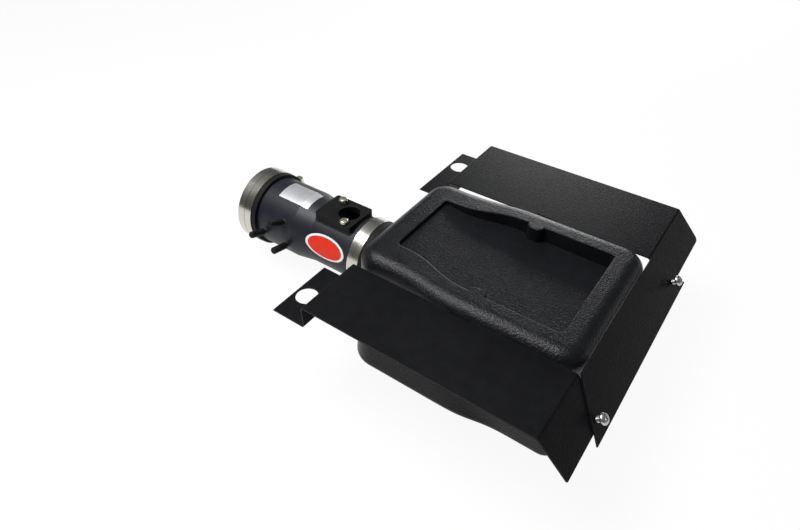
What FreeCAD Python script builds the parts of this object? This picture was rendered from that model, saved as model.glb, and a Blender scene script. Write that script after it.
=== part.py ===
import FreeCAD, Part
import math
import os

# Short ram air intake: a tapered tube, a moulded filter box and folded sheet shields.
# Millimetres. +X runs from the engine to the front of the car, +Z is up.
# The origin is the centre of the box's flat underside, and the tube's axis lies over it.

# Air box
box_length = 251.0
box_height = 140.5
box_wall = 4.0
box_top_half_engine = 84.0
box_top_half_front = 92.0
box_base_half_engine = 106.0
box_base_half_front = 97.0
box_corner = 25.0
box_base_corner_engine = 34.0
box_base_corner_front = 16.0
shoulder_height = 100.0
rim_round = 17.0
top_bend_from_engine = 39.5
top_bend_from_front = 121.5
base_bend_from_engine = 133.5
base_bend_from_front = 43.5
base_round = 6.0

# Sunk panel in the top of the box
rim_width_engine = 32.5
rim_width_front = 29.5
rim_side_engine = 36.5
rim_side_front = 27.5
recess_depth_engine = 4.0
recess_depth_front = 19.0
recess_bend_x = -30.0
recess_corner = 5.0
recess_edge_round = 1.6
column_x = 9.5
column_width = 19.0
column_depth = 8.0
column_round = 7.0

# Ways into the box
port_clearance = 0.3
inlet_width = 158.0
inlet_bottom = 13.0
inlet_height = 94.0
inlet_corner = 18.0

# Folded sheet shields
sheet = 1.5
bend_radius = 2.0
rim_stand = 8.5
shield_clearance = 0.5
shield_setback_engine = 7.1
shield_setback_front = 1.9
near_shield_width = 77.0
far_shield_width = 103.3
tab_drop = 26.0
tab_length = 39.4
tab_hole_radius = 11.8
tab_hole_setback = 25.4
near_hole_inset = 34.0
far_hole_inset = 30.8
flange_angle = 46.0
near_flange_length = 44.0
far_flange_length = 42.0
near_flange_corner = 0.8
far_flange_corner = 5.0
ear_corner = 5.0
ear_width = 24.0
ear_drop = 27.0
ear_screw_drop = 16.0
ear_pocket_margin = 0.5

# End strip
strip_top_half = 89.0
strip_base_half = 121.5
strip_top_slope = 1.5
strip_base_slope = 52.5
strip_screw_half = 103.0
strip_screw_slope = 39.0

# Screws, nuts and inserts
screw_radius = 3.0
screw_head_radius = 5.5
screw_head_height = 3.4
screw_socket = 4.0
screw_socket_depth = 1.8
strip_screw_stand = 5.0
screw_hole_clearance = 0.25
thread_clearance = 0.05
nut_across_flats = 10.0
nut_height = 5.0
shield_screw_length = 12.0
insert_radius = 4.5
insert_length = 13.0
boss_wall = 3.0

# Intake tube
tube_lift = 0.75
tube_radius_engine = 43.6
tube_radius_filter = 39.6
tube_wall = 2.0
tube_length = 192.5
tube_filter_setback = 12.5
taper_start = 121.0
taper_end = 95.0

# Sensor pad, measured back from the tube's filter end
pad_start = 41.0
pad_length = 54.0
pad_width = 44.0
pad_rise = 4.6
pad_corner = 3.0
sensor_bore_radius = 13.5
sensor_bore_setback = 59.0
sensor_hole_margin = 1.0
sensor_screw_radius = 2.0
sensor_head_radius = 5.2
sensor_head_height = 3.2
sensor_screw_length = 6.0
far_screw_back = 19.0
far_screw_side = 12.0
far_screw_stand = 4.0
near_screw_back = -6.5
near_screw_side = -18.0
near_screw_stand = 1.2

# Hose nipples: distance from the tube's engine end, angles of the foot and of the stub
upper_nipple_along = 59.0
upper_nipple_angles = (30.0, 28.0)
rear_nipple_along = 29.5
rear_nipple_angles = (-2.0, 20.0)
lower_nipple_along = 66.0
lower_nipple_angles = (-8.0, 13.0)
nipple_radius = 2.8
nipple_bore = 1.7
nipple_root = 5.0
nipple_reach = 23.0
cap_radius = 4.3
cap_start = 5.0
cap_end_wall = 3.0
cap_end_round = 1.6

# Engine coupling
coupling_length = 29.0
coupling_overlap = 14.5
coupling_wall = 4.0
throttle_radius = 42.5

# Worm-drive clamps
band_thickness = 0.7
band_clearance = 0.15
coupling_band_width = 10.6
coupling_band_gap = 0.5
coupling_band_margin = 0.4
neck_band_width = 15.0
neck_band_margin = 1.6
band_slot_count = 9
band_slot_pitch = 4.2
band_slot_width = 1.3
band_slot_inset = 2.4
worm_radius = 3.6
worm_length = 15.0
worm_head_flats = 8.0
worm_head_height = 5.5
worm_slot = 1.2
worm_lift = 0.2
housing_wall = 1.0
housing_length = 13.0
housing_round = 3.2
housing_clearance = 0.3
outer_clamp_angle = 335.0
inner_clamp_angle = 12.0
neck_clamp_angle = 236.0

# Filter
neck_reach = 46.5
neck_wall = 2.6
filter_flange = 8.0
filter_seat_gap = 0.2
filter_half_width = 54.0
filter_headroom = 11.0
filter_length = 158.0
filter_taper = 0.9
filter_cap_length = 10.0
filter_cap_margin = 2.0
filter_cap_round = 3.0
pleat_count = 44
pleat_depth = 8.0
media_depth = 15.0

# Places worked out from the sizes above
engine_wall_x = -box_length / 2
front_wall_x = box_length / 2
top_bend_start = engine_wall_x + top_bend_from_engine
top_bend_end = front_wall_x - top_bend_from_front
base_bend_start = engine_wall_x + base_bend_from_engine
base_bend_end = front_wall_x - base_bend_from_front
recess_half_engine = box_top_half_engine - rim_side_engine
recess_half_front = box_top_half_front - rim_side_front
half_inside = (box_height - recess_depth_front) / 2 - box_wall
tube_axis_height = box_wall + half_inside + tube_lift
filter_half_height = half_inside - tube_lift - filter_headroom
shield_z = box_height - rim_stand
sheet_foot = rim_stand + sheet
round_inset = rim_round - math.sqrt(rim_round ** 2 - (rim_round - sheet_foot) ** 2)
shield_half_gap = box_top_half_front - round_inset + shield_clearance
shield_left_x = engine_wall_x + shield_setback_engine
bend_x = front_wall_x - shield_setback_front
tab_z = shield_z - tab_drop
ear_screw_z = shield_z - ear_screw_drop
slope_cos = math.cos(math.radians(flange_angle))
slope_sin = math.sin(math.radians(flange_angle))
tube_filter_x = engine_wall_x - tube_filter_setback
tube_engine_x = tube_filter_x - tube_length
neck_radius = tube_radius_filter + neck_wall
neck_free_x = engine_wall_x - neck_reach
coupling_radius = tube_radius_engine + coupling_wall
coupling_engine_x = tube_engine_x + coupling_overlap - coupling_length
filter_base_x = engine_wall_x + box_wall + filter_seat_gap
media_start_x = filter_base_x + filter_flange
media_end_x = media_start_x + filter_length
pad_top_z = tube_axis_height + tube_radius_filter + pad_rise
sensor_x = tube_filter_x - sensor_bore_setback
nipple_places = (
    (upper_nipple_along, upper_nipple_angles),
    (rear_nipple_along, rear_nipple_angles),
    (lower_nipple_along, lower_nipple_angles),
)


def vec(x, y, z):
    return FreeCAD.Vector(x, y, z)


def block(x0, x1, y0, y1, z0, z1):
    """Box between two corners."""
    return Part.makeBox(x1 - x0, y1 - y0, z1 - z0, vec(x0, y0, z0))


def axis_cylinder(radius, x0, x1):
    """Cylinder round the tube's axis."""
    return Part.makeCylinder(radius, x1 - x0, vec(x0, 0, tube_axis_height), vec(1, 0, 0))


def axis_ring(outer, inner, x0, x1):
    """Tube section round the tube's axis."""
    return axis_cylinder(outer, x0, x1).cut(axis_cylinder(inner, x0, x1))


def level_edges(shape, z):
    """Edges of a shape that lie at one height."""
    found = []
    for edge in shape.Edges:
        if abs(edge.BoundBox.ZMin - z) < 1e-6 and abs(edge.BoundBox.ZMax - z) < 1e-6:
            found.append(edge)
    return found


def edges_along(shape, axis):
    """Straight edges of a shape that run along one axis."""
    found = []
    for edge in shape.Edges:
        if isinstance(edge.Curve, Part.Line) and abs(edge.tangentAt(edge.FirstParameter).dot(axis)) > 0.999:
            found.append(edge)
    return found


def edge_through(shape, axis, point):
    """The edge along an axis that passes through a point."""
    near = Part.Vertex(point)
    return min(edges_along(shape, axis), key=lambda edge: edge.distToShape(near)[0])


def polygon_face(points):
    """Flat face with straight sides."""
    return Part.Face(Part.makePolygon(points + [points[0]]))


def hex_prism(across_flats, start, direction, height):
    """Six-sided bar along a direction."""
    radius = across_flats / math.sqrt(3)
    points = []
    for corner in range(6):
        turn = math.radians(60 * corner)
        points.append(vec(radius * math.cos(turn), radius * math.sin(turn), 0))
    bar = polygon_face(points).extrude(vec(0, 0, height))
    bar.Placement = FreeCAD.Placement(start, FreeCAD.Rotation(vec(0, 0, 1), direction))
    return bar


def plan_outline(half_engine, half_front, bend_start, bend_end, engine_x, front_x, engine_corner, front_corner, z):
    """Closed outline, symmetric about the X axis, whose sides widen by an S-curve."""
    pull = (bend_end - bend_start) / 2

    def point(x, y):
        return vec(x, y, z)

    def line(x0, y0, x1, y1):
        return Part.LineSegment(point(x0, y0), point(x1, y1)).toShape()

    def bend(x0, y0, x1, y1, reach):
        curve = Part.BezierCurve()
        curve.setPoles([point(x0, y0), point(x0 + reach, y0), point(x1 - reach, y1), point(x1, y1)])
        return curve.toShape()

    def corner_arc(x, y, corner, start):
        middle = math.radians(start + 45)
        first = math.radians(start)
        last = math.radians(start + 90)
        return Part.Arc(
            point(x + corner * math.cos(first), y + corner * math.sin(first)),
            point(x + corner * math.cos(middle), y + corner * math.sin(middle)),
            point(x + corner * math.cos(last), y + corner * math.sin(last)),
        ).toShape()

    front_in = front_x - front_corner
    engine_in = engine_x + engine_corner
    edges = [
        line(front_x, front_corner - half_front, front_x, half_front - front_corner),
        corner_arc(front_in, half_front - front_corner, front_corner, 0),
        line(front_in, half_front, bend_end, half_front),
        bend(bend_end, half_front, bend_start, half_engine, -pull),
        line(bend_start, half_engine, engine_in, half_engine),
        corner_arc(engine_in, half_engine - engine_corner, engine_corner, 90),
        line(engine_x, half_engine - engine_corner, engine_x, engine_corner - half_engine),
        corner_arc(engine_in, engine_corner - half_engine, engine_corner, 180),
        line(engine_in, -half_engine, bend_start, -half_engine),
        bend(bend_start, -half_engine, bend_end, -half_front, pull),
        line(bend_end, -half_front, front_in, -half_front),
        corner_arc(front_in, front_corner - half_front, front_corner, 270),
    ]
    return Part.Wire(edges)


def box_envelope(inset):
    """The box's closed outer form, moved inwards by a wall: an upright top on a flared skirt."""
    upper_outline = plan_outline(
        box_top_half_engine - inset, box_top_half_front - inset, top_bend_start, top_bend_end,
        engine_wall_x + inset, front_wall_x - inset, box_corner - inset, box_corner - inset, shoulder_height)
    lower_outline = plan_outline(
        box_base_half_engine - inset, box_base_half_front - inset, base_bend_start, base_bend_end,
        engine_wall_x + inset, front_wall_x - inset,
        box_base_corner_engine - inset, box_base_corner_front - inset, inset)
    top_z = box_height - inset
    upper = Part.Face(upper_outline).extrude(vec(0, 0, top_z - shoulder_height))
    upper = upper.makeFillet(rim_round - inset, level_edges(upper, top_z))
    lower = Part.makeLoft([lower_outline, upper_outline], True, True)
    if inset < base_round:
        lower = lower.makeFillet(base_round - inset, level_edges(lower, inset))
    return upper.fuse(lower)


def recess_block(grow):
    """The space of the sunk top panel, made larger by a wall all round and below. Its floor dips in a curve."""
    engine_x = engine_wall_x + rim_width_engine - grow
    front_x = front_wall_x - rim_width_front + grow
    floor_z = box_height - recess_depth_front - grow
    low_z = floor_z - 1
    top_z = box_height + grow
    outline = plan_outline(
        recess_half_engine + grow, recess_half_front + grow, top_bend_start, top_bend_end,
        engine_x, front_x, recess_corner + grow, recess_corner + grow, low_z)
    space = Part.Face(outline).extrude(vec(0, 0, top_z - low_z))
    side_y = -recess_half_front - box_wall - grow
    past = box_wall / 2
    start = vec(engine_x - past, side_y, box_height - recess_depth_engine - grow)
    end = vec(front_x + past, side_y, floor_z)
    dip = Part.BezierCurve()
    dip.setPoles([start, vec(recess_bend_x, side_y, floor_z), end])
    sides = Part.makePolygon([end, vec(end.x, side_y, top_z + past), vec(start.x, side_y, top_z + past), start])
    ramp = Part.Face(Part.Wire([dip.toShape()] + sides.Edges)).extrude(vec(0, -2 * side_y, 0))
    space = space.common(ramp)
    for side in (-1, 1):
        inner = recess_half_front - column_depth + grow
        outer = recess_half_front + box_wall + grow
        half = column_width / 2 - grow
        column = block(
            column_x - half, column_x + half,
            min(side * inner, side * outer), max(side * inner, side * outer),
            low_z, top_z)
        uprights = [edge_through(column, vec(0, 0, 1), vec(column_x + hand * half, side * inner, low_z))
                    for hand in (-1, 1)]
        space = space.cut(column.makeFillet(column_round - grow, uprights))
    return space


def air_box():
    """Hollow moulding with a sunk top, a port for the neck and an open front."""
    shell = box_envelope(0).cut(recess_block(0))
    rim = [edge for edge in level_edges(shell, box_height) if edge.BoundBox.YMax < recess_half_front + 1
           and edge.BoundBox.YMin > -recess_half_front - 1]
    shell = shell.makeFillet(recess_edge_round, rim)
    shell = shell.cut(box_envelope(box_wall).cut(recess_block(box_wall)))
    port = axis_cylinder(neck_radius + port_clearance, engine_wall_x - 1, engine_wall_x + box_wall + 1)
    inlet = block(
        front_wall_x - box_wall - rim_round, front_wall_x + box_wall,
        -inlet_width / 2, inlet_width / 2, inlet_bottom, inlet_bottom + inlet_height)
    inlet = inlet.makeFillet(inlet_corner, edges_along(inlet, vec(1, 0, 0)))
    shell = shell.cut(port).cut(inlet)
    for side in (-1, 1):
        across = vec(0, -side, 0)
        seat = vec(column_x, side * shield_half_gap, ear_screw_z)
        boss = Part.makeCylinder(insert_radius + boss_wall, insert_length + boss_wall, seat, across)
        hole = Part.makeCylinder(insert_radius, insert_length, seat, across)
        half = ear_width / 2 + ear_pocket_margin
        far_y = side * (box_top_half_front + box_base_half_engine)
        pocket = block(
            column_x - half, column_x + half,
            min(side * shield_half_gap, far_y), max(side * shield_half_gap, far_y),
            shield_z - ear_drop - ear_pocket_margin, box_height)
        shell = shell.cut(pocket).fuse(boss).cut(hole)
    return shell.removeSplitter()


def sheet_section(flange):
    """Side view of a shield: stepped tab, riser, flat top and sloped flange."""
    top_end = vec(bend_x + flange * slope_cos, 0, shield_z - flange * slope_sin)
    inner_bend_x = bend_x - sheet * math.tan(math.radians(flange_angle / 2))
    points = [
        vec(shield_left_x - tab_length, 0, tab_z),
        vec(shield_left_x, 0, tab_z),
        vec(shield_left_x, 0, shield_z),
        vec(bend_x, 0, shield_z),
        top_end,
        top_end - vec(sheet * slope_sin, 0, sheet * slope_cos),
        vec(inner_bend_x, 0, shield_z - sheet),
        vec(shield_left_x + sheet, 0, shield_z - sheet),
        vec(shield_left_x + sheet, 0, tab_z - sheet),
        vec(shield_left_x - tab_length, 0, tab_z - sheet),
    ]
    return polygon_face(points)


def round_bends(solid, axis, inner_points, outer_points):
    """Round the folds of a sheet on their inner and outer sides."""
    inner = [edge_through(solid, axis, point) for point in inner_points]
    solid = solid.makeFillet(bend_radius, inner)
    outer = [edge_through(solid, axis, point) for point in outer_points]
    return solid.makeFillet(bend_radius + sheet, outer)


def shield_ear(side):
    """Short lug folded down from a shield's inner edge against the box."""
    root = shield_half_gap + bend_radius + 3 * sheet
    low_z = shield_z - ear_drop
    half = ear_width / 2
    x = column_x - half
    inner = side * (shield_half_gap + sheet)
    points = [
        vec(x, side * shield_half_gap, shield_z),
        vec(x, side * root, shield_z),
        vec(x, side * root, shield_z - sheet),
        vec(x, inner, shield_z - sheet),
        vec(x, inner, low_z),
        vec(x, side * shield_half_gap, low_z),
    ]
    ear = polygon_face(points).extrude(vec(ear_width, 0, 0))
    ear = round_bends(ear, vec(1, 0, 0), [vec(x, inner, shield_z - sheet)],
                      [vec(x, side * shield_half_gap, shield_z)])
    ends = [edge_through(ear, vec(0, 1, 0), vec(x + end * ear_width, inner, low_z)) for end in (0, 1)]
    ear = ear.makeFillet(ear_corner, ends)
    hole = Part.makeCylinder(
        screw_radius + screw_hole_clearance, 3 * sheet,
        vec(column_x, side * (shield_half_gap - sheet), ear_screw_z), vec(0, side, 0))
    return ear.cut(hole), root


def shield(side, width, flange, flange_corner, hole_inset):
    """One folded shield: a tab with its hole, a flat wing, a sloped flange and a lug."""
    inner_y = side * shield_half_gap
    outer_y = side * (shield_half_gap + width)
    plate = sheet_section(flange).extrude(vec(0, outer_y - inner_y, 0))
    plate.translate(vec(0, inner_y, 0))
    across = vec(0, 1, 0)
    inner_bend_x = bend_x - sheet * math.tan(math.radians(flange_angle / 2))
    plate = round_bends(
        plate, across,
        [vec(shield_left_x, inner_y, tab_z), vec(shield_left_x + sheet, inner_y, shield_z - sheet),
         vec(inner_bend_x, inner_y, shield_z - sheet)],
        [vec(shield_left_x + sheet, inner_y, tab_z - sheet), vec(shield_left_x, inner_y, shield_z),
         vec(bend_x, inner_y, shield_z)])
    slope_end = vec(bend_x + flange * slope_cos, outer_y, shield_z - flange * slope_sin)
    corner = edge_through(plate, vec(slope_sin, 0, slope_cos), slope_end)
    plate = plate.makeFillet(flange_corner, [corner])
    hole = Part.makeCylinder(
        tab_hole_radius, 3 * sheet,
        vec(shield_left_x - tab_hole_setback, outer_y - side * hole_inset, tab_z - 2 * sheet))
    ear, root = shield_ear(side)
    relief = block(
        column_x - ear_width / 2, column_x + ear_width / 2,
        min(inner_y, side * root), max(inner_y, side * root), shield_z - 2 * sheet, shield_z + sheet)
    plate = plate.cut(hole).cut(relief).fuse(ear)
    plate = plate.cut(slope_hole(side, screw_radius + screw_hole_clearance))
    return plate.removeSplitter()


def slope_point(down, y, out):
    """Point on the sloped flanges: distance down the slope, place across, height above them."""
    return vec(bend_x + down * slope_cos + out * slope_sin, y, shield_z - down * slope_sin + out * slope_cos)


def slope_hole(side, radius):
    """Drill along a strip screw."""
    start = slope_point(strip_screw_slope, side * strip_screw_half, -3 * sheet)
    return Part.makeCylinder(radius, 6 * sheet, start, vec(slope_sin, 0, slope_cos))


def end_strip():
    """Flat strip with slanted ends that joins the two sloped flanges."""
    points = [
        slope_point(strip_top_slope, -strip_top_half, 0),
        slope_point(strip_top_slope, strip_top_half, 0),
        slope_point(strip_base_slope, strip_base_half, 0),
        slope_point(strip_base_slope, -strip_base_half, 0),
    ]
    strip = polygon_face(points).extrude(vec(sheet * slope_sin, 0, sheet * slope_cos))
    for side in (-1, 1):
        strip = strip.cut(slope_hole(side, screw_radius + screw_hole_clearance))
    return strip


def button_screw(seat, outward, stand, shank):
    """Button head screw with a hexagon socket: its head stands off the seat."""
    head_base = seat + outward * stand
    head = Part.makeCylinder(screw_head_radius, screw_head_height, head_base, outward)
    crown = head_base + outward * screw_head_height
    rim = min(head.Edges, key=lambda edge: (edge.CenterOfMass - crown).Length)
    head = head.makeFillet(screw_head_height * 0.6, [rim])
    socket = hex_prism(screw_socket, crown - outward * screw_socket_depth, outward, screw_socket_depth)
    stem = Part.makeCylinder(screw_radius, stand + shank, seat - outward * shank, outward)
    return head.fuse(stem).cut(socket)


def strip_screws():
    """Screws through the strip and the flanges, left standing a little off the strip."""
    outward = vec(slope_sin, 0, slope_cos)
    shank = 2 * sheet + nut_height + sheet
    solids = []
    for side in (-1, 1):
        seat = slope_point(strip_screw_slope, side * strip_screw_half, sheet)
        solids.append(button_screw(seat, outward, strip_screw_stand, shank))
    return Part.makeCompound(solids)


def strip_nuts():
    """Hexagon nuts behind the flanges."""
    inward = vec(-slope_sin, 0, -slope_cos)
    solids = []
    for side in (-1, 1):
        seat = slope_point(strip_screw_slope, side * strip_screw_half, -sheet)
        nut = hex_prism(nut_across_flats, seat, inward, nut_height)
        solids.append(nut.cut(Part.makeCylinder(screw_radius + thread_clearance, nut_height, seat, inward)))
    return Part.makeCompound(solids)


def shield_screws():
    """Screws through the shields' lugs into the box."""
    solids = []
    for side in (-1, 1):
        seat = vec(column_x, side * (shield_half_gap + sheet), ear_screw_z)
        solids.append(button_screw(seat, vec(0, side, 0), 0, shield_screw_length))
    return Part.makeCompound(solids)


def box_inserts():
    """Threaded brass inserts set in the box behind the lugs."""
    solids = []
    for side in (-1, 1):
        seat = vec(column_x, side * shield_half_gap, ear_screw_z)
        across = vec(0, -side, 0)
        sleeve = Part.makeCylinder(insert_radius, insert_length, seat, across)
        bore = Part.makeCylinder(screw_radius + thread_clearance, insert_length, seat, across)
        solids.append(sleeve.cut(bore))
    return Part.makeCompound(solids)


def sensor_places():
    """Foot and stand of each sensor screw on the pad."""
    return (
        (vec(sensor_x - far_screw_back, far_screw_side, pad_top_z), far_screw_stand),
        (vec(sensor_x - near_screw_back, near_screw_side, pad_top_z), near_screw_stand),
    )


def sensor_drills(bore_radius):
    """Sensor bore and its two screw holes as one cutter."""
    drill = Part.makeCylinder(bore_radius, tube_radius_filter + pad_rise, vec(sensor_x, 0, tube_axis_height))
    for foot, stand in sensor_places():
        deep = foot - vec(0, 0, 2 * sensor_screw_length)
        drill = drill.fuse(Part.makeCylinder(sensor_screw_radius + thread_clearance, 2 * sensor_screw_length, deep))
    return drill


def nipple_axis(place):
    """Foot on the tube's wall and direction of one nipple."""
    along, angles = place
    foot = math.radians(angles[0])
    stub = math.radians(angles[1])
    point = vec(
        tube_engine_x + along, -tube_radius_engine * math.cos(foot),
        tube_axis_height + tube_radius_engine * math.sin(foot))
    return point, vec(0, -math.cos(stub), math.sin(stub))


def intake_tube():
    """Thin tube that tapers towards the filter, drilled for the sensor and the nipples."""
    start = tube_filter_x - taper_start
    end = tube_filter_x - taper_end
    outer = (
        (tube_engine_x, tube_radius_engine), (start, tube_radius_engine),
        (end, tube_radius_filter), (tube_filter_x, tube_radius_filter))
    points = [vec(x, 0, tube_axis_height + r) for x, r in outer]
    points += [vec(x, 0, tube_axis_height + r - tube_wall) for x, r in reversed(outer)]
    tube = polygon_face(points).revolve(vec(0, 0, tube_axis_height), vec(1, 0, 0), 360)
    tube = Part.Solid(tube.Shells[0]) if tube.ShapeType != "Solid" else tube
    tube = tube.cut(sensor_drills(sensor_bore_radius + sensor_hole_margin))
    for place in nipple_places:
        foot, out = nipple_axis(place)
        tube = tube.cut(Part.makeCylinder(nipple_radius, 2 * nipple_root, foot - out * nipple_root, out))
    return tube


def sensor_pad():
    """Flat pad for the sensor with a saddle that sits on the tube."""
    front = tube_filter_x - pad_start
    pad = block(front - pad_length, front, -pad_width / 2, pad_width / 2, tube_axis_height, pad_top_z)
    pad = pad.makeFillet(pad_corner, edges_along(pad, vec(0, 0, 1)))
    pad = pad.cut(axis_cylinder(tube_radius_filter, front - pad_length, front))
    saddle_z = tube_axis_height + tube_radius_filter * 0.7
    below = block(front - pad_length, front, -pad_width, pad_width, tube_axis_height - 1, saddle_z)
    return pad.cut(below).cut(sensor_drills(sensor_bore_radius))


def sensor_screws():
    """Two pan head screws left in the pad."""
    solids = []
    up = vec(0, 0, 1)
    for foot, stand in sensor_places():
        base = foot + up * stand
        head = Part.makeCylinder(sensor_head_radius, sensor_head_height, base)
        head = head.makeFillet(sensor_head_height * 0.5, level_edges(head, base.z + sensor_head_height))
        stem = Part.makeCylinder(sensor_screw_radius, stand + sensor_screw_length, foot - up * sensor_screw_length)
        solids.append(head.fuse(stem))
    return Part.makeCompound(solids)


def hose_nipples():
    """Short open stubs set through the tube's wall."""
    solids = []
    for place in nipple_places:
        foot, out = nipple_axis(place)
        stub = Part.makeCylinder(nipple_radius, nipple_root + nipple_reach, foot - out * nipple_root, out)
        stub = stub.cut(Part.makeCylinder(nipple_bore, nipple_root + nipple_reach, foot - out * nipple_root, out))
        solids.append(stub.cut(axis_cylinder(tube_radius_engine - tube_wall, tube_engine_x, tube_filter_x)))
    return Part.makeCompound(solids)


def nipple_caps():
    """Rubber caps pushed over the nipples."""
    solids = []
    for place in nipple_places:
        foot, out = nipple_axis(place)
        length = nipple_reach - cap_start + cap_end_wall
        cap = Part.makeCylinder(cap_radius, length, foot + out * cap_start, out)
        tip = foot + out * (cap_start + length)
        rim = min(cap.Edges, key=lambda edge: (edge.CenterOfMass - tip).Length)
        cap = cap.makeFillet(cap_end_round, [rim])
        solids.append(cap.cut(Part.makeCylinder(nipple_radius, nipple_reach - cap_start, foot + out * cap_start, out)))
    return Part.makeCompound(solids)


def engine_coupling():
    """Short rubber sleeve: one half grips the tube, the other takes the throttle body."""
    end_x = coupling_engine_x + coupling_length
    sleeve = axis_ring(coupling_radius, tube_radius_engine, tube_engine_x, end_x)
    return sleeve.fuse(axis_ring(coupling_radius, throttle_radius, coupling_engine_x, tube_engine_x))


def clamp(middle_x, inner_radius, width, angle):
    """Worm-drive clamp: slotted band, pressed housing and worm screw, turned about the tube."""
    outer_radius = inner_radius + band_thickness
    crest = tube_axis_height + outer_radius
    band = axis_ring(outer_radius, inner_radius, middle_x - width / 2, middle_x + width / 2)
    half_slot = width / 2 - band_slot_inset
    axis_point = vec(0, 0, tube_axis_height)
    for number in range(band_slot_count):
        slot = block(
            middle_x - half_slot, middle_x + half_slot, -band_slot_width / 2, band_slot_width / 2,
            crest - 3 * band_thickness, crest + band_thickness)
        turn = housing_length / 2 + worm_head_height + number * band_slot_pitch
        slot.rotate(axis_point, vec(1, 0, 0), math.degrees(-turn / outer_radius))
        band = band.cut(slot)
    worm_z = crest + worm_lift + worm_radius
    room = worm_radius + housing_clearance
    half = room + housing_wall
    housing = block(
        middle_x - half, middle_x + half, -housing_length / 2, housing_length / 2,
        crest - housing_length, worm_z + half)
    tops = [edge for edge in edges_along(housing, vec(0, 1, 0)) if edge.BoundBox.ZMax > worm_z]
    housing = housing.makeFillet(housing_round, tops)
    tunnel = Part.makeCylinder(room, housing_length, vec(middle_x, -housing_length / 2, worm_z), vec(0, 1, 0))
    slot = block(middle_x - room, middle_x + room, -housing_length / 2, housing_length / 2,
                 crest - housing_length, worm_z)
    housing = housing.cut(tunnel).cut(slot)
    housing = housing.cut(axis_cylinder(outer_radius, middle_x - 2 * half, middle_x + 2 * half))
    start = vec(middle_x, -housing_length / 2 - (worm_length - housing_length) / 2, worm_z)
    worm = Part.makeCylinder(worm_radius, worm_length, start, vec(0, 1, 0))
    head_y = start.y + worm_length
    head = hex_prism(worm_head_flats, vec(middle_x, head_y, worm_z), vec(0, 1, 0), worm_head_height)
    groove = block(middle_x - worm_slot / 2, middle_x + worm_slot / 2, head_y + worm_head_height - 2 * worm_slot,
                   head_y + worm_head_height, worm_z - worm_head_flats, worm_z + worm_head_flats)
    worm = worm.fuse(head.cut(groove))
    pieces = (band, housing, worm)
    for piece in pieces:
        piece.rotate(axis_point, vec(1, 0, 0), angle - 90)
    return pieces


def oval_face(x, half_width, half_height):
    """Flat oval across the tube's axis."""
    ring = Part.Ellipse(
        vec(x, half_width, tube_axis_height), vec(x, 0, tube_axis_height + half_height), vec(x, 0, tube_axis_height))
    return Part.Face(Part.Wire([ring.toShape()]))


def filter_neck():
    """Rubber neck over the tube's end, with an oval base flange seated inside the box."""
    neck = axis_cylinder(neck_radius, neck_free_x, filter_base_x)
    flange = oval_face(filter_base_x, filter_half_width, filter_half_height).extrude(vec(filter_flange, 0, 0))
    bore = axis_cylinder(tube_radius_filter, neck_free_x, filter_base_x + filter_flange)
    return neck.fuse(flange).cut(bore)


def pleat_wire(x, scale):
    """Zigzag round an oval: pleat tips and valleys in turn."""
    points = []
    for step in range(2 * pleat_count):
        turn = math.pi * step / pleat_count
        depth = pleat_depth if step % 2 else 0
        y = (filter_half_width - depth) * math.cos(turn) * scale
        z = (filter_half_height - depth) * math.sin(turn) * scale
        points.append(vec(x, y, tube_axis_height + z))
    return Part.makePolygon(points + [points[0]])


def oval_wire(x, scale):
    """Inner oval of the pleated media."""
    return oval_face(x, (filter_half_width - media_depth) * scale, (filter_half_height - media_depth) * scale).OuterWire


def filter_media():
    """Pleated paper round an open oval core, narrowing towards the cap."""
    folds = Part.makeLoft([pleat_wire(media_start_x, 1), pleat_wire(media_end_x, filter_taper)], True, True)
    core = Part.makeLoft([oval_wire(media_start_x, 1), oval_wire(media_end_x, filter_taper)], True, True)
    return folds.cut(core)


def filter_cap():
    """Rubber cap that closes the media's far end."""
    cap = oval_face(
        media_end_x, filter_half_width * filter_taper + filter_cap_margin,
        filter_half_height * filter_taper + filter_cap_margin).extrude(vec(filter_cap_length, 0, 0))
    end = [edge for edge in cap.Edges if edge.BoundBox.XMin > media_end_x + filter_cap_length - 1e-3]
    return cap.makeFillet(filter_cap_round, end)


def clamp_set():
    """The three clamps by name: two on the engine coupling and one on the filter neck."""
    outer_x = coupling_engine_x + coupling_band_margin + coupling_band_width / 2
    inner_x = outer_x + coupling_band_width + coupling_band_gap
    neck_x = neck_free_x + neck_band_margin + neck_band_width / 2
    return {
        "outer_clamp": clamp(outer_x, coupling_radius + band_clearance, coupling_band_width, outer_clamp_angle),
        "inner_clamp": clamp(inner_x, coupling_radius + band_clearance, coupling_band_width, inner_clamp_angle),
        "neck_clamp": clamp(neck_x, neck_radius + band_clearance, neck_band_width, neck_clamp_angle),
    }


def all_parts():
    """Every piece by its node name."""
    parts = {
        "air_box": air_box(),
        "near_shield": shield(-1, near_shield_width, near_flange_length, near_flange_corner, near_hole_inset),
        "far_shield": shield(1, far_shield_width, far_flange_length, far_flange_corner, far_hole_inset),
        "end_strip": end_strip(),
        "strip_screws": strip_screws(),
        "strip_nuts": strip_nuts(),
        "shield_screws": shield_screws(),
        "box_inserts": box_inserts(),
        "intake_tube": intake_tube(),
        "sensor_pad": sensor_pad(),
        "sensor_screws": sensor_screws(),
        "hose_nipples": hose_nipples(),
        "nipple_caps": nipple_caps(),
        "engine_coupling": engine_coupling(),
        "filter_neck": filter_neck(),
        "filter_media": filter_media(),
        "filter_cap": filter_cap(),
    }
    for name, pieces in clamp_set().items():
        for suffix, piece in zip(("band", "housing", "screw"), pieces):
            parts[name + "_" + suffix] = piece
    return parts


os.makedirs("parts", exist_ok=True)
for node, shape in all_parts().items():
    print(node, "solids", len(shape.Solids), "valid", shape.isValid(), "volume", round(shape.Volume, 1))
    shape.exportStep(os.path.join("parts", node + ".step"))
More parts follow.
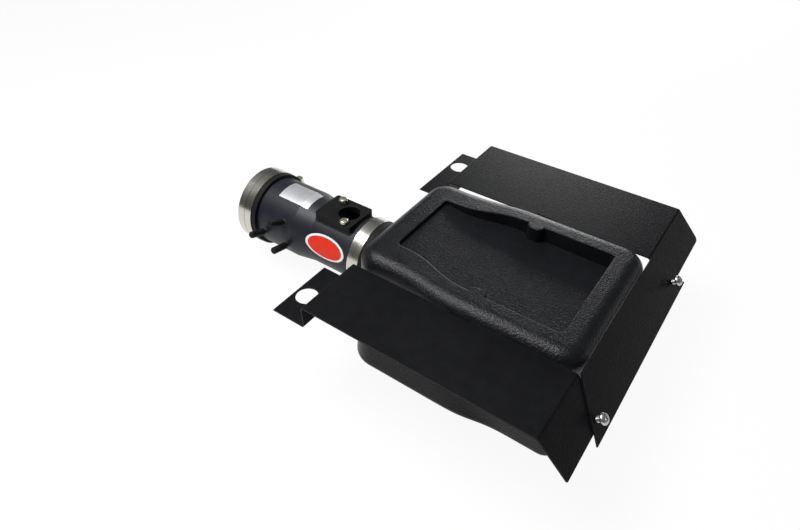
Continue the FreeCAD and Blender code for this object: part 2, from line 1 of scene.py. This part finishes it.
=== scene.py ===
import bmesh
import bpy
import math
import numpy as np
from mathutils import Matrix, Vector


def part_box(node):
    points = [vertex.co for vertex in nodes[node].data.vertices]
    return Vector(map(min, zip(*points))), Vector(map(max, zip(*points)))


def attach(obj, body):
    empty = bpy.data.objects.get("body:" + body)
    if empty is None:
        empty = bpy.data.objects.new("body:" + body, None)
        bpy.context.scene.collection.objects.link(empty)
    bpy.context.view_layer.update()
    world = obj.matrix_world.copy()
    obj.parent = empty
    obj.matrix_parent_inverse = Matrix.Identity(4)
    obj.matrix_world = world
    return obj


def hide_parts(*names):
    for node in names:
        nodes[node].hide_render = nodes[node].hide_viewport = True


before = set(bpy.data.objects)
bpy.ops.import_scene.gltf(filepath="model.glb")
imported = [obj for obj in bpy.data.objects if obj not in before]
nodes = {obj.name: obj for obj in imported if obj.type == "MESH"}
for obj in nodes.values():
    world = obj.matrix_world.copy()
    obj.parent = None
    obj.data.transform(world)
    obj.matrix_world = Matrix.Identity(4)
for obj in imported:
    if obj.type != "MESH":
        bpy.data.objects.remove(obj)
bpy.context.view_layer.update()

# Air box: one hollow black plastic moulding, upright at the top and flared at the foot,
# with a sunk top panel. The mould leaves a fine leathery grain that breaks up its shine.


def new_group(name, inputs, outputs):
    """Empty shader node group with the named inputs and outputs, each given as (name, kind)."""
    tree = bpy.data.node_groups.new(name, "ShaderNodeTree")
    for label, kind in inputs:
        tree.interface.new_socket(label, in_out="INPUT", socket_type=kind)
    for label, kind in outputs:
        tree.interface.new_socket(label, in_out="OUTPUT", socket_type=kind)
    return tree, tree.nodes.new("NodeGroupInput"), tree.nodes.new("NodeGroupOutput")


def math_node(tree, operation, first, second, clamp=False):
    """Math node whose inputs are sockets or plain numbers; returns its output."""
    node = tree.nodes.new("ShaderNodeMath")
    node.operation = operation
    node.use_clamp = clamp
    for place, value in enumerate((first, second)):
        if isinstance(value, (int, float)):
            node.inputs[place].default_value = value
        else:
            tree.links.new(value, node.inputs[place])
    return node.outputs[0]


def noise_node(tree, vector, scale, detail):
    """Noise texture on a vector; scale may be a socket or a number."""
    node = tree.nodes.new("ShaderNodeTexNoise")
    node.inputs["Detail"].default_value = detail
    tree.links.new(vector, node.inputs["Vector"])
    if isinstance(scale, (int, float)):
        node.inputs["Scale"].default_value = scale
    else:
        tree.links.new(scale, node.inputs["Scale"])
    return node.outputs[0]


def grain_group():
    """Pebbled grain: rounded Voronoi cells roughened by noise, as a height and a fleck mask."""
    tree, given, result = new_group(
        "surface_grain",
        [("Vector", "NodeSocketVector"), ("Scale", "NodeSocketFloat")],
        [("Height", "NodeSocketFloat"), ("Fleck", "NodeSocketFloat")])
    cells = tree.nodes.new("ShaderNodeTexVoronoi")
    cells.feature = "SMOOTH_F1"
    tree.links.new(given.outputs["Vector"], cells.inputs["Vector"])
    tree.links.new(given.outputs["Scale"], cells.inputs["Scale"])
    cell_share = 0.7
    fine_share = 0.5
    fine_scale = 2.3
    fleck_gain = 1.45
    fleck_power = 5.0
    finer = math_node(tree, "MULTIPLY", given.outputs["Scale"], fine_scale)
    fine = noise_node(tree, given.outputs["Vector"], finer, detail=2.0)
    height = math_node(tree, "ADD", math_node(tree, "MULTIPLY", cells.outputs["Distance"], cell_share),
                       math_node(tree, "MULTIPLY", fine, fine_share))
    bright = math_node(tree, "MULTIPLY", fine, fleck_gain, True)
    fleck = math_node(tree, "POWER", bright, fleck_power, True)
    tree.links.new(height, result.inputs["Height"])
    tree.links.new(fleck, result.inputs["Fleck"])
    return tree


def handling_group():
    """Uneven handling film: two noises multiplied, one broad and one smeared, as a mask from 0 to 1."""
    tree, given, result = new_group(
        "handling_film",
        [("Vector", "NodeSocketVector"), ("Scale", "NodeSocketFloat")],
        [("Mask", "NodeSocketFloat")])
    smear_scale = 6.0
    film_gain = 2.6
    finer = math_node(tree, "MULTIPLY", given.outputs["Scale"], smear_scale)
    broad = noise_node(tree, given.outputs["Vector"], given.outputs["Scale"], detail=3.0)
    smear = noise_node(tree, given.outputs["Vector"], finer, detail=4.0)
    both = math_node(tree, "MULTIPLY", broad, smear)
    tree.links.new(math_node(tree, "MULTIPLY", both, film_gain, True), result.inputs["Mask"])
    return tree


def edge_group():
    """Worn edges: how far the rounded normal leans from the true one, broken up by noise."""
    tree, given, result = new_group(
        "edge_wear",
        [("Vector", "NodeSocketVector"), ("Radius", "NodeSocketFloat")],
        [("Mask", "NodeSocketFloat")])
    bevel_samples = 6
    lean_gain = 5.0
    break_scale = 160.0
    rounded = tree.nodes.new("ShaderNodeBevel")
    rounded.samples = bevel_samples
    tree.links.new(given.outputs["Radius"], rounded.inputs["Radius"])
    true_normal = tree.nodes.new("ShaderNodeNewGeometry")
    dot = tree.nodes.new("ShaderNodeVectorMath")
    dot.operation = "DOT_PRODUCT"
    tree.links.new(rounded.outputs[0], dot.inputs[0])
    tree.links.new(true_normal.outputs["True Normal"], dot.inputs[1])
    lean = math_node(tree, "SUBTRACT", 1.0, dot.outputs["Value"], True)
    broken = noise_node(tree, given.outputs["Vector"], break_scale, detail=3.0)
    worn = math_node(tree, "MULTIPLY", math_node(tree, "MULTIPLY", lean, lean_gain, True), broken, True)
    tree.links.new(worn, result.inputs["Mask"])
    return tree


surface_grain = grain_group()
handling_film = handling_group()
edge_wear = edge_group()
film_scale = 14.0
fleck_share = 0.5
film_share = 0.5


def finish(name, dark, light, metallic, roughness, grain_scale, grain_height, specular,
           worn=None, wear_radius=0.0, sparkle=0.0, sheen=0.0):
    """Coated or moulded finish: colour from dark to light by grain fleck and film, roughness from low
    to high by film and less on flecks that sparkle, bump from grain, and a worn colour on the edges."""
    material = bpy.data.materials.new(name)
    material.use_nodes = True
    tree = material.node_tree
    shader = tree.nodes["Principled BSDF"]
    place = tree.nodes.new("ShaderNodeTexCoord").outputs["Object"]

    def placed(group, **values):
        node = tree.nodes.new("ShaderNodeGroup")
        node.node_tree = group
        tree.links.new(place, node.inputs["Vector"])
        for label, value in values.items():
            node.inputs[label].default_value = value
        return node.outputs

    grain = placed(surface_grain, Scale=grain_scale)
    film = placed(handling_film, Scale=film_scale)
    shade = tree.nodes.new("ShaderNodeMix")
    shade.data_type = "RGBA"
    shade.inputs["A"].default_value = (*dark, 1)
    shade.inputs["B"].default_value = (*light, 1)
    amount = math_node(tree, "ADD", math_node(tree, "MULTIPLY", grain["Fleck"], fleck_share),
                       math_node(tree, "MULTIPLY", film["Mask"], film_share), True)
    tree.links.new(amount, shade.inputs["Factor"])
    colour = shade.outputs["Result"]
    if worn is not None:
        edges = placed(edge_wear, Radius=wear_radius)
        bare = tree.nodes.new("ShaderNodeMix")
        bare.data_type = "RGBA"
        tree.links.new(edges["Mask"], bare.inputs["Factor"])
        tree.links.new(colour, bare.inputs["A"])
        bare.inputs["B"].default_value = (*worn, 1)
        colour = bare.outputs["Result"]
    tree.links.new(colour, shader.inputs["Base Color"])
    low, high = roughness
    rough = math_node(tree, "ADD", math_node(tree, "MULTIPLY", film["Mask"], high - low), low)
    smoother = math_node(tree, "MULTIPLY", grain["Fleck"], sparkle)
    rough = math_node(tree, "SUBTRACT", rough, smoother, True)
    tree.links.new(rough, shader.inputs["Roughness"])
    bump = tree.nodes.new("ShaderNodeBump")
    bump.inputs["Strength"].default_value = 1.0
    bump.inputs["Distance"].default_value = grain_height
    tree.links.new(grain["Height"], bump.inputs["Height"])
    tree.links.new(bump.outputs["Normal"], shader.inputs["Normal"])
    shader.inputs["Metallic"].default_value = metallic
    shader.inputs["Specular IOR Level"].default_value = specular
    shader.inputs["Sheen Weight"].default_value = sheen
    return material


def dress(material, *names):
    """Give CAD nodes a finish in place of their plain one."""
    for name in names:
        nodes[name].data.materials.clear()
        nodes[name].data.materials.append(material)


grained_plastic = finish(
    "grained_plastic", dark=(0.0030, 0.0032, 0.0040), light=(0.0095, 0.0100, 0.0122), metallic=0.0,
    roughness=(0.29, 0.39), grain_scale=560.0, grain_height=0.00055, specular=0.22, sparkle=0.16,
    worn=(0.014, 0.0145, 0.0165), wear_radius=0.0012)
dress(grained_plastic, "air_box")

# Brass inserts: plain sleeves moulded into the box behind the shields' lugs,
# so that the lug screws can be undone without stripping the plastic.
insert_brass = finish(
    "insert_brass", dark=(0.36, 0.24, 0.08), light=(0.62, 0.45, 0.18), metallic=1.0,
    roughness=(0.25, 0.45), grain_scale=1800.0, grain_height=0.00005, specular=0.5)
dress(insert_brass, "box_inserts")

# Filter: pleated media on an oval core with a rubber neck moulded to one end and a rubber
# cap to the other. The neck passes through the box's port and grips the tube's end.
black_rubber = finish(
    "black_rubber", dark=(0.0045, 0.0045, 0.0048), light=(0.014, 0.014, 0.015), metallic=0.0,
    roughness=(0.5, 0.72), grain_scale=1500.0, grain_height=0.00006, specular=0.16)
dress(black_rubber, "filter_neck", "filter_cap")
filter_paper = finish(
    "filter_paper", dark=(0.30, 0.27, 0.21), light=(0.52, 0.49, 0.42), metallic=0.0,
    roughness=(0.8, 0.95), grain_scale=1400.0, grain_height=0.00015, specular=0.2, sheen=0.1)
dress(filter_paper, "filter_media")

# Shields and end strip: folded steel sheet, powder coated black with a fine texture.
# Each shield has a stepped tab, a wing and a sloped flange; the strip ties the flanges.
textured_powder = finish(
    "textured_powder", dark=(0.0024, 0.0025, 0.0031), light=(0.0062, 0.0064, 0.0078), metallic=0.0,
    roughness=(0.38, 0.50), grain_scale=620.0, grain_height=0.0002, specular=0.10, sparkle=0.15,
    worn=(0.05, 0.05, 0.053), wear_radius=0.0007)
dress(textured_powder, "near_shield", "far_shield", "end_strip")

# Screws and nuts: stainless button heads with hexagon sockets. The two strip screws stand
# a little off the strip in their nuts; two more hold the shields' lugs to the box.
stainless = finish(
    "stainless", dark=(0.42, 0.42, 0.41), light=(0.66, 0.66, 0.65), metallic=1.0,
    roughness=(0.2, 0.38), grain_scale=2200.0, grain_height=0.00003, specular=0.5)
dress(stainless, "strip_nuts", "shield_screws")
merge_distance = 1e-7
thin_edge = 1e-8
sharp_angle = math.radians(40.0)


def surface(name, points, material, replaced=(), close_u=False, close_v=False):
    """Closed piece from a grid of points (u, v, xyz): one quad between each four neighbours, the
    grid closed round u or v where asked, rows that meet in a point or a line merged."""
    rows, columns = points.shape[:2]
    u, v = np.meshgrid(
        np.arange(rows - (not close_u)), np.arange(columns - (not close_v)), indexing="ij")
    next_u, next_v = (u + 1) % rows, (v + 1) % columns
    quads = np.stack([u * columns + v, next_u * columns + v,
                      next_u * columns + next_v, u * columns + next_v], -1).reshape(-1, 4)
    mesh = bpy.data.meshes.new(name)
    mesh.from_pydata(points.reshape(-1, 3).tolist(), [], quads.tolist())
    form = bmesh.new()
    form.from_mesh(mesh)
    bmesh.ops.remove_doubles(form, verts=form.verts, dist=merge_distance)
    bmesh.ops.dissolve_degenerate(form, edges=form.edges, dist=thin_edge)
    bmesh.ops.recalc_face_normals(form, faces=form.faces)
    form.to_mesh(mesh)
    form.free()
    mesh.shade_smooth()
    mesh.set_sharp_from_angle(angle=sharp_angle)
    mesh.materials.append(material)
    piece = bpy.data.objects.new(name, mesh)
    bpy.context.scene.collection.objects.link(piece)
    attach(piece, "root")
    for node in replaced:
        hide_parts(node)


turn_steps = 96
turn = np.linspace(0, 2 * math.pi, turn_steps, endpoint=False)


def turned(rows, foot, out, across):
    """Turned piece: rows of (radius by angle, height) set round an axis through foot along out."""
    radius = np.stack([np.broadcast_to(row[0], turn.shape) for row in rows])
    height = np.array([row[1] for row in rows])[:, None, None]
    side = np.cross(out, across)
    ring = np.cos(turn)[:, None] * across + np.sin(turn)[:, None] * side
    return np.array(foot) + radius[:, :, None] * ring[None] + height * np.array(out)


def thread_rows(length, pitch, steps, core, depth):
    """Rows of a screw thread going down: radius = core + depth * (1 - |2 * phase - 1|), with the phase
    going once from 0 to 1 in each pitch and each turn."""
    height = np.arange(0, length, pitch / steps)
    phase = (height[:, None] / pitch + turn[None] / (2 * math.pi)) % 1.0
    radius = core + depth * (1 - np.abs(2 * phase - 1))
    return [(r, -h) for r, h in zip(radius, height)]


slope = math.radians(46.0)
slope_out = np.array([math.sin(slope), 0.0, math.cos(slope)])
slope_down = np.array([math.cos(slope), 0.0, -math.sin(slope)])
strip_fold = np.array([0.1236, 0.0, 0.132])
strip_screw_down = 0.039
strip_screw_half = 0.103
sheet_thick = 0.0015
screw_stand = 0.005
screw_shank = 0.0095
screw_length = screw_stand + screw_shank
screw_tip_length = 0.0004
screw_tip_radius = 0.0021
screw_pitch = 0.001
screw_core = 0.00245
screw_thread_depth = 0.0005
screw_thread_steps = 12
lip_width = 0.0002
socket_half = 0.002
socket_taper = 0.99
socket_floor = 0.0016
button_top = 0.0034
button_flat = 0.0028
button_round = 0.0027
button_edge = 0.0004
button_crown = 0.003
button_seat = 0.0054
button_neck = 0.0031
head_first_angle = 0.12
head_steps = 9
socket_radius = socket_half / np.cos((turn + math.pi / 6) % (math.pi / 3) - math.pi / 6)
head_angle = np.linspace(head_first_angle, math.pi / 2, head_steps)
screw_rows = [(0.0, socket_floor), (socket_radius * socket_taper, socket_floor)]
screw_rows += [(socket_radius, button_top), (socket_radius + lip_width, button_top)]
screw_rows += [(button_flat + button_round * math.sin(a), button_edge + button_crown * math.cos(a))
               for a in head_angle]
screw_rows += [(button_seat, 0.0), (button_neck, 0.0)]
screw_rows += thread_rows(screw_length - screw_tip_length, screw_pitch, screw_thread_steps,
                          screw_core, screw_thread_depth)
screw_rows += [(screw_tip_radius, -screw_length), (0.0, -screw_length)]
for name, side in (("near_strip_screw", -1), ("far_strip_screw", 1)):
    seat = strip_fold + slope_down * strip_screw_down + slope_out * (sheet_thick + screw_stand)
    seat[1] = side * strip_screw_half
    surface(name, turned(screw_rows, seat, slope_out, np.array([0.0, 1.0, 0.0])), stainless,
            ["strip_screws"], close_v=True)

# Intake tube: thin steel tube, tapered towards the filter, in satin dark slate powder coat,
# with a flat machined pad welded on its crown for the air mass sensor.
slate_coat = finish(
    "slate_coat", dark=(0.0080, 0.0096, 0.0138), light=(0.0160, 0.0187, 0.0255), metallic=0.0,
    roughness=(0.36, 0.5), grain_scale=1500.0, grain_height=0.00005, specular=0.27,
    worn=(0.12, 0.12, 0.125), wear_radius=0.0006)
dress(slate_coat, "intake_tube")
pad_black = finish(
    "pad_black", dark=(0.0030, 0.0030, 0.0034), light=(0.0085, 0.0086, 0.0094), metallic=0.0,
    roughness=(0.42, 0.55), grain_scale=1500.0, grain_height=0.00005, specular=0.16,
    worn=(0.035, 0.035, 0.037), wear_radius=0.0006)
dress(pad_black, "sensor_pad")

tube_low, tube_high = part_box("intake_tube")
axis_z = (tube_low.z + tube_high.z) / 2
taper_start = -0.259
taper_end = -0.233
engine_radius = 0.0436
filter_radius = 0.0396
tube_x = np.array([tube_low.x, taper_start, taper_end, tube_high.x])
tube_r = np.array([engine_radius, engine_radius, filter_radius, filter_radius])
bead_sides = 14
bead_ripple = 0.10
ripple_steps = 7


def weld_bead(name, path, size, material):
    """Weld bead: a small circle carried round a closed path, its size rippling along the way."""
    along = np.roll(path, -1, 0) - np.roll(path, 1, 0)
    along /= np.linalg.norm(along, axis=1)[:, None]
    out = path - np.stack([path[:, 0], np.zeros(len(path)), np.full(len(path), axis_z)], 1)
    out -= along * (out * along).sum(1)[:, None]
    out /= np.linalg.norm(out, axis=1)[:, None]
    side = np.cross(along, out)
    ripple = size * (1 + bead_ripple * np.sin(np.arange(len(path)) * 2 * math.pi / ripple_steps))
    ring = np.linspace(0, 2 * math.pi, bead_sides, endpoint=False)
    points = path[:, None] + ripple[:, None, None] * (
        np.cos(ring)[None, :, None] * out[:, None] + np.sin(ring)[None, :, None] * side[:, None])
    surface(name, points, material, close_u=True, close_v=True)


pad_low, pad_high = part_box("sensor_pad")
pad_corner = 0.003
pad_steps = 280
pad_bead = 0.0011
no_length = 1e-9
pad_angle = np.linspace(0, 2 * math.pi, pad_steps, endpoint=False)
pad_half_x = (pad_high.x - pad_low.x) / 2
pad_half_y = (pad_high.y - pad_low.y) / 2
pad_core = np.array([pad_half_x - pad_corner, pad_half_y - pad_corner])
square = np.stack([np.cos(pad_angle), np.sin(pad_angle)], 1)
square /= np.abs(square).max(1)[:, None]
flat = np.clip(square * (pad_core + pad_corner), -pad_core, pad_core)
lean = square * (pad_core + pad_corner) - flat
lean_length = np.linalg.norm(lean, axis=1)[:, None]
lean_way = np.where(lean_length > no_length, lean / np.maximum(lean_length, no_length), 0)
plan = flat + lean_way * pad_corner
pad_path_x = (pad_low.x + pad_high.x) / 2 + plan[:, 0]
pad_path_r = np.interp(pad_path_x, tube_x, tube_r)
pad_path = np.stack([pad_path_x, plan[:, 1], axis_z + np.sqrt(pad_path_r ** 2 - plan[:, 1] ** 2)], 1)
weld_bead("pad_weld", pad_path, pad_bead, pad_black)

# Foil label and sticker: two thin wraps on the tube, a blank silver foil on its crown and a
# plain red sticker with a white edge on its near side. Both are thin film, glued down.
film_columns = 40
film_rows = 90
film_thick = 0.00012
glue_lift = 0.00004
face_lift = 0.0001
oval = 2
near_rectangle = 40
wrap_u = np.concatenate([np.linspace(-1, 1, film_columns), np.linspace(1, -1, film_columns)])
wrap_top = np.concatenate([np.ones(film_columns), np.zeros(film_columns)])
wrap_v = np.sin(np.linspace(-math.pi / 2, math.pi / 2, film_rows))


def wrap(name, x_span, angle_span, power, lift, material):
    """Thin film on the tube: a superellipse |x|^power + |girth|^power = 1, its inner face at the
    tube's radius plus lift, its outer face a film's thickness further out; angles in degrees."""
    half_x = (x_span[1] - x_span[0]) / 2
    middle_angle = math.radians(sum(angle_span) / 2)
    half_angle = math.radians(angle_span[1] - angle_span[0]) / 2
    reach = half_x * (1 - np.abs(wrap_v) ** power) ** (1 / power)
    x = sum(x_span) / 2 + wrap_u[:, None] * reach[None]
    edge = np.where(np.abs(wrap_v) == 1, 0.5, wrap_top[:, None])
    radius = np.interp(x, tube_x, tube_r) + lift + film_thick * edge
    angle = middle_angle + wrap_v[None] * half_angle + 0 * x
    points = np.stack([x, -radius * np.cos(angle), axis_z + radius * np.sin(angle)], -1)
    surface(name, points, material, close_u=True)


silver_foil = finish(
    "silver_foil", dark=(0.50, 0.50, 0.51), light=(0.66, 0.66, 0.67), metallic=0.6,
    roughness=(0.3, 0.42), grain_scale=1600.0, grain_height=0.00002, specular=0.5)
white_film = finish(
    "white_film", dark=(0.70, 0.70, 0.71), light=(0.82, 0.82, 0.83), metallic=0.0,
    roughness=(0.25, 0.35), grain_scale=1600.0, grain_height=0.00001, specular=0.5)
red_film = finish(
    "red_film", dark=(0.62, 0.022, 0.010), light=(0.74, 0.040, 0.018), metallic=0.0,
    roughness=(0.3, 0.42), grain_scale=1600.0, grain_height=0.00001, specular=0.14)
wrap("foil_label", (-0.296, -0.249), (66, 108), near_rectangle, glue_lift, silver_foil)
wrap("sticker_edge", (-0.237, -0.178), (-6, 39), oval, glue_lift, white_film)
wrap("sticker_face", (-0.2335, -0.1815), (-2.5, 35.5), oval, face_lift, red_film)

# Sensor screws: two pan heads in pale yellow zinc with four-lobed recesses, left in the pad
# for the sensor. Both stand off the pad on their shanks, the far one further.
yellow_zinc = finish(
    "yellow_zinc", dark=(0.50, 0.47, 0.33), light=(0.74, 0.72, 0.58), metallic=1.0,
    roughness=(0.28, 0.44), grain_scale=2200.0, grain_height=0.00003, specular=0.5)
pan_radius = 0.0052
pan_round = 0.0018
pan_side = 0.0014
pan_top = 0.0032
pan_chamfer = 0.0002
recess_core = 0.0011
recess_lobe = 0.0011
recess_taper = 0.75
recess_middle = 0.0016
recess_floor = 0.0017
stem_neck = 0.0021
stem_core = 0.00165
stem_thread_depth = 0.0003
stem_thread_steps = 10
stem_pitch = 0.0007
stem_thread_reach = 0.0058
stem_reach = 0.006
stem_tip_radius = 0.0014
recess_radius = recess_core + recess_lobe * np.abs(np.cos(2 * turn)) ** 3
pan_rows = [(0.0, recess_middle), (recess_radius * recess_taper, recess_floor)]
pan_rows += [(recess_radius, pan_top), (recess_radius + lip_width, pan_top)]
pan_rows += [(pan_radius - pan_round + pan_round * math.sin(a), pan_side + pan_round * math.cos(a))
             for a in head_angle]
pan_rows += [(pan_radius, pan_chamfer), (pan_radius - pan_chamfer, 0.0), (stem_neck, 0.0)]
for name, x, y, stand in (
        ("far_sensor_screw", -0.216, 0.012, 0.004),
        ("near_sensor_screw", -0.1905, -0.018, 0.0012)):
    rows = pan_rows + thread_rows(stand + stem_thread_reach, stem_pitch, stem_thread_steps,
                                  stem_core, stem_thread_depth)
    rows += [(stem_tip_radius, -stand - stem_reach), (0.0, -stand - stem_reach)]
    seat = (x, y, pad_high.z + stand)
    surface(name, turned(rows, seat, np.array([0.0, 0.0, 1.0]), np.array([1.0, 0.0, 0.0])), yellow_zinc,
            ["sensor_screws"], close_v=True)

# Nipples and caps: short stubs for breather hoses, welded through the tube's wall, coated
# with it and closed with black rubber caps.
dress(slate_coat, "hose_nipples")
dress(black_rubber, "nipple_caps")
nipple_radius = 0.0028
nipple_bead = 0.0013
nipple_steps = 56
bead_turn = np.linspace(0, 2 * math.pi, nipple_steps, endpoint=False)
for name, along, foot_angle, stub_angle in (
        ("upper_nipple_weld", 0.0590, 30.0, 28.0),
        ("rear_nipple_weld", 0.0295, -2.0, 20.0),
        ("lower_nipple_weld", 0.0660, -8.0, 13.0)):
    foot_a, stub_a = math.radians(foot_angle), math.radians(stub_angle)
    out = np.array([0.0, -math.cos(stub_a), math.sin(stub_a)])
    foot = engine_radius * np.array([0.0, -math.cos(foot_a), math.sin(foot_a)])
    foot[0] = tube_low.x + along
    ring = foot + nipple_radius * (np.cos(bead_turn)[:, None] * np.array([1.0, 0.0, 0.0])
                                   + np.sin(bead_turn)[:, None] * np.cross(out, [1.0, 0.0, 0.0]))
    gap = (ring[:, 1:] ** 2).sum(1) - np.interp(ring[:, 0], tube_x, tube_r) ** 2
    lead = (ring[:, 1:] * out[1:]).sum(1)
    ring += (np.sqrt(lead ** 2 - gap) - lead)[:, None] * out
    ring[:, 2] += axis_z
    weld_bead(name, ring, nipple_bead, slate_coat)

# Engine coupling: a short rubber sleeve that joins the tube to the throttle body,
# open at the engine end, in the same black rubber as the filter's neck.
dress(black_rubber, "engine_coupling")

# Worm-drive clamps: a rolled steel band with cut slots, a pressed housing and a worm screw
# that draws the slots along. Two sit on the coupling and a wider one on the neck.
rolled_steel = finish(
    "rolled_steel", dark=(0.53, 0.50, 0.44), light=(0.74, 0.71, 0.65), metallic=1.0,
    roughness=(0.14, 0.26), grain_scale=1800.0, grain_height=0.00002, specular=0.5)
clamps = ("outer_clamp", "inner_clamp", "neck_clamp")
dress(rolled_steel, *[clamp + part for clamp in clamps for part in ("_band", "_housing", "_screw")])

# Studio: a white floor a hair below the part, soft light from above and behind, a dim sky
# that brightens overhead, and the photograph's camera.
floor_half = 6.0
floor_drop = 0.0006
floor_white = 0.9
floor_glow = 0.93
floor_mesh = bpy.data.meshes.new("floor")
floor_mesh.from_pydata(
    [(-floor_half, -floor_half, 0), (floor_half, -floor_half, 0),
     (floor_half, floor_half, 0), (-floor_half, floor_half, 0)], [], [(0, 1, 2, 3)])
floor = bpy.data.objects.new("floor", floor_mesh)
floor.location.z = -floor_drop
bpy.context.scene.collection.objects.link(floor)
white_floor = bpy.data.materials.new("white_floor")
white_floor.use_nodes = True
tree = white_floor.node_tree
tree.nodes.remove(tree.nodes["Principled BSDF"])
lit = tree.nodes.new("ShaderNodeBsdfDiffuse")
lit.inputs["Color"].default_value = (floor_white, floor_white, floor_white, 1)
glow = tree.nodes.new("ShaderNodeEmission")
path = tree.nodes.new("ShaderNodeLightPath")
mirrored = math_node(tree, "ADD", path.outputs["Is Glossy Ray"], path.outputs["Is Transmission Ray"])
seen = math_node(tree, "ADD", path.outputs["Is Camera Ray"], mirrored, True)
both = tree.nodes.new("ShaderNodeMixShader")
tree.links.new(math_node(tree, "MULTIPLY", seen, floor_glow), both.inputs[0])
tree.links.new(lit.outputs[0], both.inputs[1])
tree.links.new(glow.outputs[0], both.inputs[2])
tree.links.new(both.outputs[0], tree.nodes["Material Output"].inputs["Surface"])
floor_mesh.materials.append(white_floor)

wall_strength = 0.1
ceiling_gain = 0.4
ceiling_power = 3.0
world = bpy.data.worlds.new("studio")
world.use_nodes = True
sky = world.node_tree
sky.nodes["Background"].inputs["Color"].default_value = (0.93, 0.96, 1.0, 1)
upward = sky.nodes.new("ShaderNodeSeparateXYZ")
sky.links.new(sky.nodes.new("ShaderNodeTexCoord").outputs["Generated"], upward.inputs[0])
ceiling = math_node(sky, "POWER", math_node(sky, "MAXIMUM", upward.outputs["Z"], 0.0), ceiling_power)
strength = math_node(sky, "ADD", math_node(sky, "MULTIPLY", ceiling, ceiling_gain), wall_strength)
sky.links.new(strength, sky.nodes["Background"].inputs["Strength"])
bpy.context.scene.world = world


def softbox(name, place, aim, size, power):
    """Square area light at a place, turned to face a point."""
    data = bpy.data.lights.new(name, "AREA")
    data.shape = "SQUARE"
    data.size = size
    data.energy = power
    lamp = bpy.data.objects.new(name, data)
    lamp.location = place
    lamp.rotation_mode = "QUATERNION"
    lamp.rotation_quaternion = (Vector(aim) - Vector(place)).to_track_quat("-Z", "Y")
    bpy.context.scene.collection.objects.link(lamp)


softbox("key_softbox", place=(-0.55, -0.4, 1.4), aim=(-0.05, 0.0, 0.08), size=0.7, power=26.0)
softbox("back_softbox", place=(-0.5, 1.6, 0.4), aim=(0.0, 0.1, 0.1), size=0.7, power=10.0)

camera_way = Vector((-0.4356, 0.6120, -0.6601))
camera_data = bpy.data.cameras.new("camera")
camera_data.sensor_width = 36.0
camera_data.lens = 27.12
camera = bpy.data.objects.new("camera", camera_data)
camera.location = (0.1868, -0.4361, 0.5320)
camera.rotation_mode = "QUATERNION"
camera.rotation_quaternion = camera_way.to_track_quat("-Z", "Y")
bpy.context.scene.collection.objects.link(camera)
bpy.context.scene.camera = camera
bpy.context.scene.view_settings.view_transform = "Standard"
